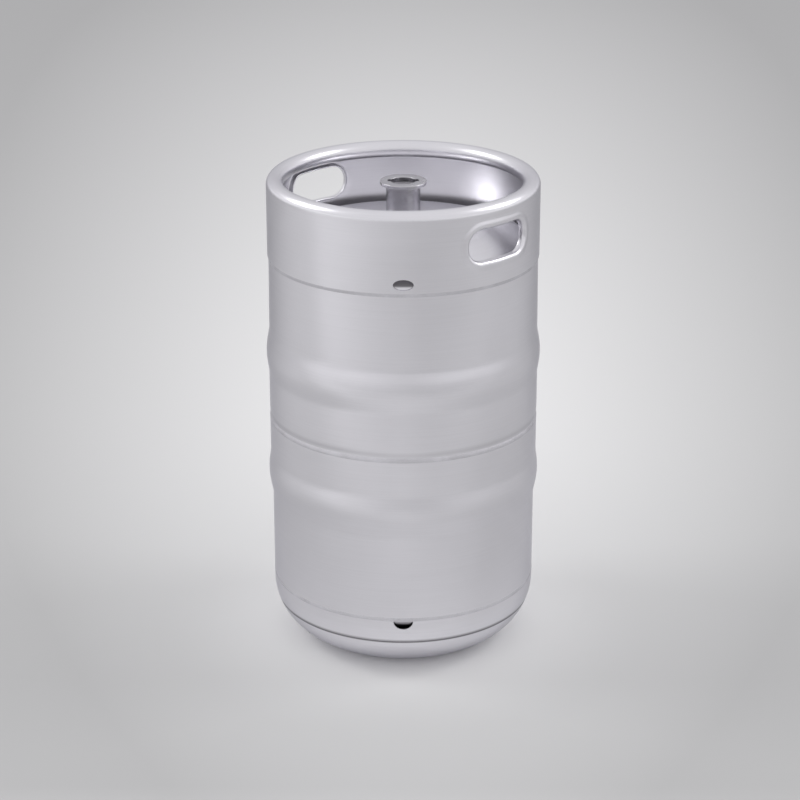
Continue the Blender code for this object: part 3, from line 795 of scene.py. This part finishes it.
# How far each chime's weld reaches past the seam and on to the chime, and the girth weld each way
UPPER_WELD_REACH = (0.0024, 0.0006)
LOWER_WELD_REACH = (0.0022, 0.0006)
GIRTH_WELD_REACH = 0.0034

# Each weld's crown and the depth of its scallops
UPPER_WELD_RELIEF = (0.00006, 0.00003)
LOWER_WELD_RELIEF = (0.00025, 0.00010)
GIRTH_WELD_RELIEF = (0.00042, 0.00006)


def make_ring_weld(node, low, high, relief):
    """A weld between two (r, z) edges, with a crown and the scallops that the torch leaves."""
    crown, depth = relief
    outline = []
    for i in range(WELD_STEPS + 1):
        share = i / WELD_STEPS
        r = low[0] + (high[0] - low[0]) * smooth_step(0, 1, share)
        r += (crown + WELD_LAP) * math.sin(math.pi * share) ** WELD_FULLNESS - WELD_LAP
        outline.append((r, low[1] + (high[1] - low[1]) * share))
    root = min(low[0], high[0]) - SHELL_SHEET
    outline += [(root, high[1]), (root, low[1])]
    piece = turned(node + "_bead", outline, 3 * SCALLOPS, ripple=(SCALLOPS, depth))
    place(piece, node, "keg", WELD)


def make_welds():
    """A bead at each chime and round the girth, and a fillet round the foot of the neck."""
    edge = UPPER_SEAM - UPPER_WELD_REACH[0]
    chime_edge = (CHIME_RADIUS, UPPER_CHIME_LOW + UPPER_WELD_REACH[1])
    make_ring_weld("upper_chime_weld", (wall_radius(edge), edge), chime_edge, UPPER_WELD_RELIEF)
    edge = LOWER_SEAM + LOWER_WELD_REACH[0]
    chime_edge = (LOWER_RADIUS, LOWER_CHIME_HIGH - LOWER_WELD_REACH[1])
    make_ring_weld("lower_chime_weld", chime_edge, (wall_radius(edge), edge), LOWER_WELD_RELIEF)
    levels = (GIRTH - GIRTH_WELD_REACH, GIRTH + GIRTH_WELD_REACH)
    make_ring_weld("girth_weld", *[(wall_radius(z), z) for z in levels], GIRTH_WELD_RELIEF)
    inner = NECK_RADIUS + GAP
    floor = DOME_TOP + GAP
    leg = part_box("neck_weld")[1].x - inner
    fillet = [(inner, floor), (inner + leg, floor)]
    fillet += arc((inner + leg, floor + leg), leg * FILLET_HOLLOW, 262, 188, 8)
    fillet += [(inner, floor + leg)]
    ripple = (NECK_SCALLOPS, NECK_SCALLOP_DEPTH)
    place(turned("neck_weld_bead", fillet, 4 * NECK_SCALLOPS, ripple), "neck_weld", "keg", WELD)


# ---------------------------------------------------------------- neck and valve

NECK_WALL = 0.0015
NECK_OVERHANG = 0.0075
NECK_RADIUS = NECK_HIGH.x - NECK_OVERHANG
FLANGE = 0.0042
LIP = 0.0035
LUG_GROOVE = 0.005
LUG_GROOVE_DEPTH = 0.004
GROOVE_RADIUS = NECK_RADIUS - NECK_WALL
LIP_BORE = GROOVE_RADIUS - LUG_GROOVE_DEPTH
LUG_DEGREES = 46.5
LUG_WIDTH = 0.009
LUG_EASE = 0.0004
LUG_CORNER = 0.0015
RING_DEPTH = 0.0012
RING_HALF_WIDTH = 0.0012
RING_CORNER = 0.0004
RING_GAP_DEGREES = 24
RING_STEPS = 90
BODY_LOW, BODY_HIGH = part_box("spear_body")
CAGE_LOW, CAGE_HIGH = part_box("spring_cage")
BODY_OUTER = CAGE_HIGH.x
BODY_INNER = BODY_OUTER - 0.0016
BODY_PLAY = 0.0004
BODY_FLANGE = 0.002
SEAT_BORE = BODY_INNER - 0.0020
SEAL_LOW, SEAL_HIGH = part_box("gas_seal")
SEAL_THICKNESS = 0.0038
SEAL_PLAY = 0.0004
CUP_LOW, CUP_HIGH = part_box("valve_cup")
TUBE_LOW, TUBE_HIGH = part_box("down_tube")
TUBE_RADIUS = TUBE_HIGH.x
TUBE_WALL = 0.0008
BALL_LOW, BALL_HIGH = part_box("valve_ball")
BALL_RADIUS = (BALL_HIGH.z - BALL_LOW.z) / 2
BALL_SEAT = 0.001
BALL_STEPS = 32
PARTING_LINE = 0.00006
SEAL_BORE = BALL_RADIUS - BALL_SEAT
SEAL_MOUTH = BALL_RADIUS - 0.0002
CUP_INNER = BALL_RADIUS + 0.001
CUP_OUTER = CUP_INNER + 0.001
CUP_FLANGE = 0.0012
CUP_FLOOR = 0.0015
CUP_FLOOR_HOLE = 0.0035
SOCKET_DEPTH = 0.0082
CAGE_FLOOR = 0.0015
CAGE_HOLE = TUBE_RADIUS + 0.0009
PORT = (0.008, 0.0095)

# Springs: turns, the wire's radius, and the rise of a closed end turn in wire radii
MAIN_SPRING = (7, 0.0007)
BALL_SPRING = (5, 0.0004)
CLOSED_RISE = 2.3
STEPS_PER_TURN = 36
WIRE_SIDES = 12

# How far each turned piece's corners are broken
NECK_CORNER = 0.0009
BODY_CORNER = 0.0005
GASKET_CORNER = 0.0004
CAGE_CORNER = 0.0006
SEAL_CORNER = 0.0006
INSERT_CORNER = 0.0003
CUP_CORNER = 0.0004
TUBE_CORNER = 0.0003


def make_neck():
    """The turned neck: its flange, its groove for the lock ring, and two slots for the lugs."""
    ring_low, ring_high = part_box("lock_ring")
    gasket_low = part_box("neck_gasket")[0]
    bore = BODY_OUTER + BODY_PLAY
    flange_floor = NECK_TOP - FLANGE
    groove_top = NECK_TOP - LIP
    groove_floor = groove_top - LUG_GROOVE
    outline = [
        (LIP_BORE, NECK_TOP),
        (NECK_HIGH.x, NECK_TOP),
        (NECK_HIGH.x, flange_floor),
        (NECK_RADIUS, flange_floor),
        (NECK_RADIUS, NECK_LOW.z),
        (bore, NECK_LOW.z),
        (bore, gasket_low.z - GAP),
        (LIP_BORE, gasket_low.z - GAP),
        (LIP_BORE, ring_low.z - GAP),
        (LIP_BORE + RING_DEPTH, ring_low.z - GAP),
        (LIP_BORE + RING_DEPTH, ring_high.z + GAP),
        (LIP_BORE, ring_high.z + GAP),
        (LIP_BORE, groove_floor),
        (GROOVE_RADIUS, groove_floor),
        (GROOVE_RADIUS, groove_top),
        (LIP_BORE, groove_top),
    ]
    neck = turned("keg_neck_turned", softened(outline, NECK_CORNER, 4), NECK_STEPS)
    along, across = level_axes(LUG_DEGREES)
    slot = rounded_rectangle(GROOVE_RADIUS - LUG_EASE, LUG_WIDTH / 2, LUG_CORNER, 5)
    rings = []
    for level in (groove_top - LUG_GROOVE / 2, NECK_TOP + LIP):
        rings.append([along * a + across * b + Vector((0, 0, level)) for a, b in slot])
    cut_away(neck, swept("lug_cut", rings, closed=False))
    place(neck, "keg_neck", "keg", TURNED)


def make_lock_ring():
    """A split ring with rounded ends in the neck's groove."""
    low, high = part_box("lock_ring")
    outer = LIP_BORE + RING_DEPTH - GAP
    half_height = (high.z - low.z) / 2
    section = rounded_rectangle(RING_HALF_WIDTH, half_height, RING_CORNER, 3)
    rings = []
    for i in range(RING_STEPS + 1):
        degrees = RING_GAP_DEGREES + (360 - RING_GAP_DEGREES) * i / RING_STEPS
        out = level_axes(degrees)[0]
        middle = out * (outer - RING_HALF_WIDTH) + Vector((0, 0, low.z + half_height))
        rings.append([middle + out * a + Vector((0, 0, b)) for a, b in section])
    place(swept("lock_ring_wire", rings, closed=False), "lock_ring", "keg", WIRE)


def make_fixed_valve_pieces():
    """The spear body that the gas seal closes against, its gasket, and the cage with its ports."""
    flange = BODY_HIGH.x
    body = [
        (SEAT_BORE, BODY_HIGH.z),
        (flange, BODY_HIGH.z),
        (flange, BODY_HIGH.z - BODY_FLANGE),
        (BODY_OUTER, BODY_HIGH.z - BODY_FLANGE),
        (BODY_OUTER, BODY_LOW.z),
        (BODY_INNER, BODY_LOW.z),
        (BODY_INNER, BODY_HIGH.z - BODY_FLANGE),
        (SEAT_BORE, BODY_HIGH.z - BODY_FLANGE),
    ]
    piece = turned("spear_body_turned", softened(body, BODY_CORNER), VALVE_STEPS)
    place(piece, "spear_body", "keg", TURNED)

    low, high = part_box("neck_gasket")
    inner = BODY_OUTER + GAP
    gasket = [(inner, high.z), (high.x, high.z), (high.x, low.z), (inner, low.z)]
    piece = turned("neck_gasket_moulded", softened(gasket, GASKET_CORNER), VALVE_STEPS)
    place(piece, "neck_gasket", "keg", RUBBER)

    cage = [
        (BODY_INNER, CAGE_HIGH.z),
        (BODY_OUTER, CAGE_HIGH.z),
        (BODY_OUTER, CAGE_LOW.z),
        (CAGE_HOLE, CAGE_LOW.z),
        (CAGE_HOLE, CAGE_LOW.z + CAGE_FLOOR),
        (BODY_INNER, CAGE_LOW.z + CAGE_FLOOR),
    ]
    piece = turned("spring_cage_pressed", softened(cage, CAGE_CORNER), VALVE_STEPS)
    port = rounded_rectangle(PORT[0] / 2, PORT[1] / 2, PORT[0] / 4, 6)
    level = CAGE_LOW.z + 2 * CAGE_FLOOR + PORT[1] / 2
    for degrees in (0, 90):
        cut_away(piece, level_bar("port_cut", port, level, degrees))
    place(piece, "spring_cage", "keg", TURNED)


def make_gas_valve():
    """The seal, its insert, and the cup and down tube that move with it."""
    seat_top = SEAL_LOW.z + SEAL_THICKNESS
    boss = SEAT_BORE - SEAL_PLAY
    seal = [
        (SEAL_BORE, SEAL_HIGH.z),
        (boss, SEAL_HIGH.z),
        (boss, seat_top),
        (SEAL_HIGH.x, seat_top),
        (SEAL_HIGH.x, SEAL_LOW.z),
        (SEAL_MOUTH, SEAL_LOW.z),
        (SEAL_BORE, SEAL_LOW.z + BALL_SEAT),
    ]
    low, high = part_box("gas_seal_insert")
    insert = [(CUP_INNER, high.z), (high.x, high.z), (high.x, low.z), (CUP_INNER, low.z)]
    socket = TUBE_RADIUS + GAP
    socket_top = CUP_LOW.z + SOCKET_DEPTH
    cup = [
        (CUP_INNER, CUP_HIGH.z),
        (CUP_HIGH.x, CUP_HIGH.z),
        (CUP_HIGH.x, CUP_HIGH.z - CUP_FLANGE),
        (CUP_OUTER, CUP_HIGH.z - CUP_FLANGE),
        (CUP_OUTER, CUP_LOW.z),
        (socket, CUP_LOW.z),
        (socket, socket_top),
        (CUP_FLOOR_HOLE, socket_top),
        (CUP_FLOOR_HOLE, socket_top + CUP_FLOOR),
        (CUP_INNER, socket_top + CUP_FLOOR),
    ]
    bore = TUBE_RADIUS - TUBE_WALL
    tube = [
        (bore, TUBE_HIGH.z),
        (TUBE_RADIUS, TUBE_HIGH.z),
        (TUBE_RADIUS, TUBE_LOW.z),
        (bore, TUBE_LOW.z),
    ]
    pieces = (
        ("gas_seal_moulded", "gas_seal", seal, SEAL_CORNER, RUBBER),
        ("gas_seal_insert_ring", "gas_seal_insert", insert, INSERT_CORNER, WIRE),
        ("valve_cup_turned", "valve_cup", cup, CUP_CORNER, TURNED),
        ("down_tube_drawn", "down_tube", tube, TUBE_CORNER, SATIN),
    )
    for name, node, outline, edge, material in pieces:
        place(turned(name, softened(outline, edge), VALVE_STEPS), node, "gas_valve", material)


def make_ball():
    """The valve's ball, with the fine parting line of its mould."""
    centre = (BALL_HIGH.z + BALL_LOW.z) / 2
    outline = []
    for i in range(BALL_STEPS + 1):
        angle = math.radians(90 - 180 * i / BALL_STEPS)
        flash = PARTING_LINE if i == BALL_STEPS // 2 else 0.0
        radius = 0.0 if i in (0, BALL_STEPS) else (BALL_RADIUS + flash) * math.cos(angle)
        outline.append((radius, centre + BALL_RADIUS * math.sin(angle)))
    place(turned("valve_ball_moulded", outline, 2 * BALL_STEPS), "valve_ball", "beer_valve", RUBBER)


def make_spring(name, node, body, coil):
    """A compression spring with closed ends, on a mesh of its own."""
    turns, wire = coil
    low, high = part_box(node)
    radius = high.x - wire
    floor = low.z + wire
    closed_rise = CLOSED_RISE * wire
    pitch = (high.z - low.z - 2 * wire - 2 * closed_rise) / (turns - 2)
    up = Vector((0, 0, 1))
    rings = []
    for i in range(turns * STEPS_PER_TURN + 1):
        turn = i / STEPS_PER_TURN
        rise = min(turn, 1.0) * closed_rise
        rise += min(max(turn - 1.0, 0.0), turns - 2) * pitch
        rise += max(turn - turns + 1, 0.0) * closed_rise
        out = Vector((math.cos(2 * math.pi * turn), math.sin(2 * math.pi * turn), 0))
        centre = out * radius + up * (floor + rise)
        angles = [2 * math.pi * k / WIRE_SIDES for k in range(WIRE_SIDES)]
        rings.append([centre + wire * (math.cos(a) * out + math.sin(a) * up) for a in angles])
    piece = swept(name, rings, closed=False)
    place(piece, node, body, WIRE)
    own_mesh(piece)


def make_springs():
    make_spring("main_spring_coil", "main_spring", "keg", MAIN_SPRING)
    make_spring("ball_spring_coil", "ball_spring", "gas_valve", BALL_SPRING)


# ---------------------------------------------------------------- studio


def direction(azimuth, elevation):
    """The unit vector from the keg towards a viewer at that azimuth and elevation, in degrees."""
    a, e = math.radians(azimuth), math.radians(elevation)
    return Vector((math.sin(a) * math.cos(e), -math.cos(a) * math.cos(e), math.sin(e)))


def aim(obj, target):
    obj.rotation_euler = (target - obj.location).to_track_quat("-Z", "Y").to_euler()


def make_camera():
    """A still camera aimed at the keg's middle."""
    centre = Vector((0, 0, KEG_HEIGHT / 2))
    data = bpy.data.cameras.new("studio_camera")
    camera = bpy.data.objects.new("studio_camera", data)
    bpy.context.scene.collection.objects.link(camera)
    camera.location = centre + direction(CAMERA_AZIMUTH, CAMERA_ELEVATION) * CAMERA_DISTANCE
    aim(camera, centre)
    data.lens = CAMERA_LENS
    data.shift_x, data.shift_y = CAMERA_SHIFT
    bpy.context.scene.camera = camera


def softbox(name, turn, elevation, distance, size, power):
    """A rectangular light aimed at the keg's middle; turn is in degrees round from the camera."""
    data = bpy.data.lights.new(name, "AREA")
    data.shape = "RECTANGLE"
    data.size, data.size_y = size
    data.energy = power
    light = bpy.data.objects.new(name, data)
    bpy.context.scene.collection.objects.link(light)
    centre = Vector((0, 0, KEG_HEIGHT / 2))
    light.location = centre + direction(CAMERA_AZIMUTH + turn, elevation) * distance
    aim(light, centre)
    return light


def make_air():
    """Even light from all round, with a glow low down at each side."""
    world = bpy.data.worlds.new("studio_air")
    world.use_nodes = True
    tree = world.node_tree
    background = tree.nodes["Background"]
    where = tree.nodes.new("ShaderNodeTexCoord").outputs["Generated"]
    parts = tree.nodes.new("ShaderNodeSeparateXYZ")
    link(tree, where, parts.inputs["Vector"])
    across = tree.nodes.new("ShaderNodeVectorMath")
    across.operation = "DOT_PRODUCT"
    across.inputs[1].default_value = level_axes(CAMERA_AZIMUTH)[0]
    link(tree, where, across.inputs[0])
    height = parts.outputs["Z"]
    air = ramp(tree, height, AIR_RISE, (AIR_LOW, AIR_HIGH), smooth=True)
    aside = maths(tree, "ABSOLUTE", across.outputs["Value"])
    sides = ramp(tree, aside, (0.0, 1.0), (GLOW_AT_FRONT, 1.0), smooth=True)
    band = ramp(tree, height, GLOW_FALL, (HORIZON_GLOW, 0.0))
    strength = maths(tree, "MULTIPLY_ADD", band, sides, air)
    link(tree, strength, background.inputs["Strength"])
    background.inputs["Color"].default_value = AIR_COLOUR
    bpy.context.scene.world = world


def make_lights():
    """A softbox high at each side, and a broad light over the floor that leaves no glint."""
    make_air()
    softbox("left_high_softbox", *LEFT_SOFTBOX)
    softbox("right_high_softbox", *RIGHT_SOFTBOX)
    softbox("floor_light", *FLOOR_LIGHT).visible_glossy = False


def root_of_squares(tree, first, second):
    """The distance from the origin of a point with these two coordinates."""
    squares = (maths(tree, "MULTIPLY", value, value) for value in (first, second))
    return maths(tree, "SQRT", maths(tree, "ADD", *squares))


def painted_floor_light(tree):
    """The floor, lightest just behind the keg, with soft pools in front and round it."""
    parts = tree.nodes.new("ShaderNodeSeparateXYZ")
    link(tree, object_place(tree), parts.inputs["Vector"])
    x, y = parts.outputs["X"], parts.outputs["Y"]
    middle, lightest = FLOOR_LIGHTEST_AT
    behind = ramp(tree, y, (lightest, FLOOR_BACK))
    before = ramp(tree, y, (FLOOR_FRONT, lightest), (1.0, 0.0))
    depth = maths(tree, "ADD", behind, before)
    level = maths(tree, "MAXIMUM", y, FLOOR_STOPS_NARROWING)
    half_width = maths(tree, "MULTIPLY_ADD", level, FLOOR_WIDENING, FLOOR_HALF_WIDTH)
    aside = maths(tree, "DIVIDE", maths(tree, "SUBTRACT", x, middle), half_width)
    reach = root_of_squares(tree, depth, aside)
    fade = ramp(tree, reach, FLOOR_FADE, (1.0, 0.0))
    tone = ramp(tree, fade, (0.0, 1.0), FLOOR_PAINTED_LIGHT_TONES)
    near = ramp(tree, root_of_squares(tree, x, y), POOL_REACH, (1.0, 0.0))
    in_front = ramp(tree, y, FRONT_EDGE, (1.0, 0.0))
    # Painted pools of light, each from two masks and a strength
    painted_pools = (
        (near, near, PAINTED_POOL_LIGHT),
        (ramp(tree, y, FRONT_REACH), in_front, PAINTED_FRONT_LIGHT),
        (ramp(tree, x, LEFT_REACH, (1.0, 0.0)), in_front, PAINTED_LEFT_LIGHT),
        (
            ramp(tree, x, FAR_LEFT_REACH, (1.0, 0.0)),
            ramp(tree, y, FAR_LEFT_DEPTH, (1.0, 0.0)),
            PAINTED_FAR_LEFT_LIGHT,
        ),
    )
    for first, second, strength in painted_pools:
        pool = maths(tree, "MULTIPLY", first, second)
        tone = maths(tree, "MULTIPLY_ADD", pool, strength, tone)
    return tone


def make_floor():
    """A pale floor whose x axis points to the camera's right, with painted light in its tone."""
    size = FLOOR_SIZE
    corners = [(-size, -size, 0), (size, -size, 0), (size, size, 0), (-size, size, 0)]
    floor = smooth_object("studio_floor", corners, [(0, 1, 2, 3)])
    floor.rotation_euler.z = math.radians(CAMERA_AZIMUTH)
    material = new_material("pale_floor_painted_light")
    tree = material.node_tree
    shader = tree.nodes["Principled BSDF"]
    shader.inputs["Roughness"].default_value = FLOOR_ROUGHNESS
    shader.inputs["Specular IOR Level"].default_value = FLOOR_GLOSS
    tone = painted_floor_light(tree)
    colour = tree.nodes.new("ShaderNodeCombineColor")
    for channel in ("Red", "Green", "Blue"):
        link(tree, tone, colour.inputs[channel])
    link(tree, colour.outputs["Color"], shader.inputs["Base Color"])
    floor.data.materials.append(material)


bpy.context.scene.view_settings.view_transform = "Standard"
make_camera()
make_lights()
make_floor()
make_shell()
make_upper_chime()
make_lower_chime()
make_welds()
make_neck()
make_lock_ring()
make_fixed_valve_pieces()
make_gas_valve()
make_ball()
make_springs()
